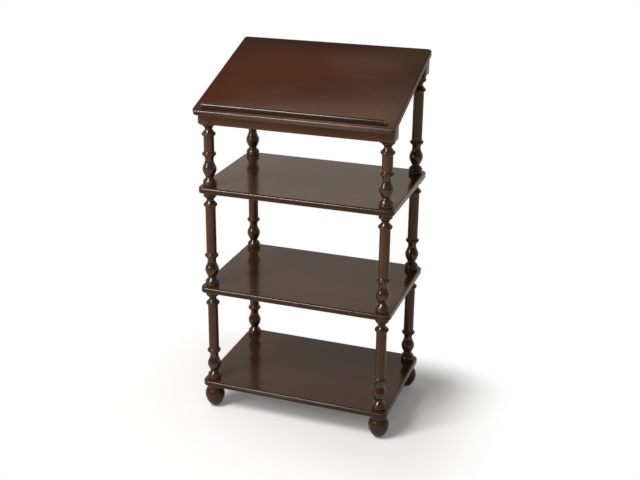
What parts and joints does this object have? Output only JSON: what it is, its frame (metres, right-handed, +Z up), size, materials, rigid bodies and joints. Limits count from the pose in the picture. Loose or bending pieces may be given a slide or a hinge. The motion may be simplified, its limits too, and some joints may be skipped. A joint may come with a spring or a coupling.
{
  "type": "atlas stand",
  "caption": "Open tiered atlas stand in dark stained wood: turned spindles on bun feet carry moulded shelves under a fixed sloped reading top with a book ledge.",
  "frame": {"origin": "on the floor, under the middle of the stand's outline", "axes": "+Z up, +X to the reader's right, +Y to the rear; the reader stands on the -Y side, at the low edge of the top"},
  "size_m": [0.602, 0.4186, 1.121],
  "materials": {
    "top_wood": "dark cherry stain under satin lacquer, open straight grain",
    "shelf_wood": "dark cherry stain under semi-gloss lacquer",
    "turned_wood": "dark cherry stain under semi-gloss lacquer on turned stock",
    "rail_wood": "dark cherry stain under satin lacquer",
    "dowel_wood": "bare beech",
    "stud_steel": "zinc plated",
    "screw_steel": "zinc plated",
    "glide_nylon": "dark nylon"
  },
  "bodies": {
    "root": {"top_panel": "top_wood", "book_ledge": "top_wood", "lower_shelf": "shelf_wood", "middle_shelf": "shelf_wood", "upper_shelf": "shelf_wood", "front_rail": "rail_wood", "rear_rail": "rail_wood", "block_front_left": "rail_wood", "block_front_right": "rail_wood", "block_rear_left": "rail_wood", "block_rear_right": "rail_wood", "spindle_lower_front_left": "turned_wood", "spindle_lower_front_right": "turned_wood", "spindle_lower_rear_left": "turned_wood", "spindle_lower_rear_right": "turned_wood", "spindle_middle_front_left": "turned_wood", "spindle_middle_front_right": "turned_wood", "spindle_middle_rear_left": "turned_wood", "spindle_middle_rear_right": "turned_wood", "spindle_upper_front_left": "turned_wood", "spindle_upper_front_right": "turned_wood", "spindle_upper_rear_left": "turned_wood", "spindle_upper_rear_right": "turned_wood", "foot_front_left": "turned_wood", "foot_front_right": "turned_wood", "foot_rear_left": "turned_wood", "foot_rear_right": "turned_wood", "glide_front_left": "glide_nylon", "glide_front_right": "glide_nylon", "glide_rear_left": "glide_nylon", "glide_rear_right": "glide_nylon", "stud_lower_front_left": "stud_steel", "stud_lower_front_right": "stud_steel", "stud_lower_rear_left": "stud_steel", "stud_lower_rear_right": "stud_steel", "stud_middle_front_left": "stud_steel", "stud_middle_front_right": "stud_steel", "stud_middle_rear_left": "stud_steel", "stud_middle_rear_right": "stud_steel", "stud_upper_front_left": "stud_steel", "stud_upper_front_right": "stud_steel", "stud_upper_rear_left": "stud_steel", "stud_upper_rear_right": "stud_steel", "stud_top_front_left": "stud_steel", "stud_top_front_right": "stud_steel", "stud_top_rear_left": "stud_steel", "stud_top_rear_right": "stud_steel", "rail_dowel_front_left": "dowel_wood", "rail_dowel_front_right": "dowel_wood", "rail_dowel_rear_left": "dowel_wood", "rail_dowel_rear_right": "dowel_wood", "panel_screw_front_left": "screw_steel", "panel_screw_front_right": "screw_steel", "panel_screw_rear_left": "screw_steel", "panel_screw_rear_right": "screw_steel", "ledge_screw_left": "screw_steel", "ledge_screw_middle": "screw_steel", "ledge_screw_right": "screw_steel"}
  },
  "joints": []
}
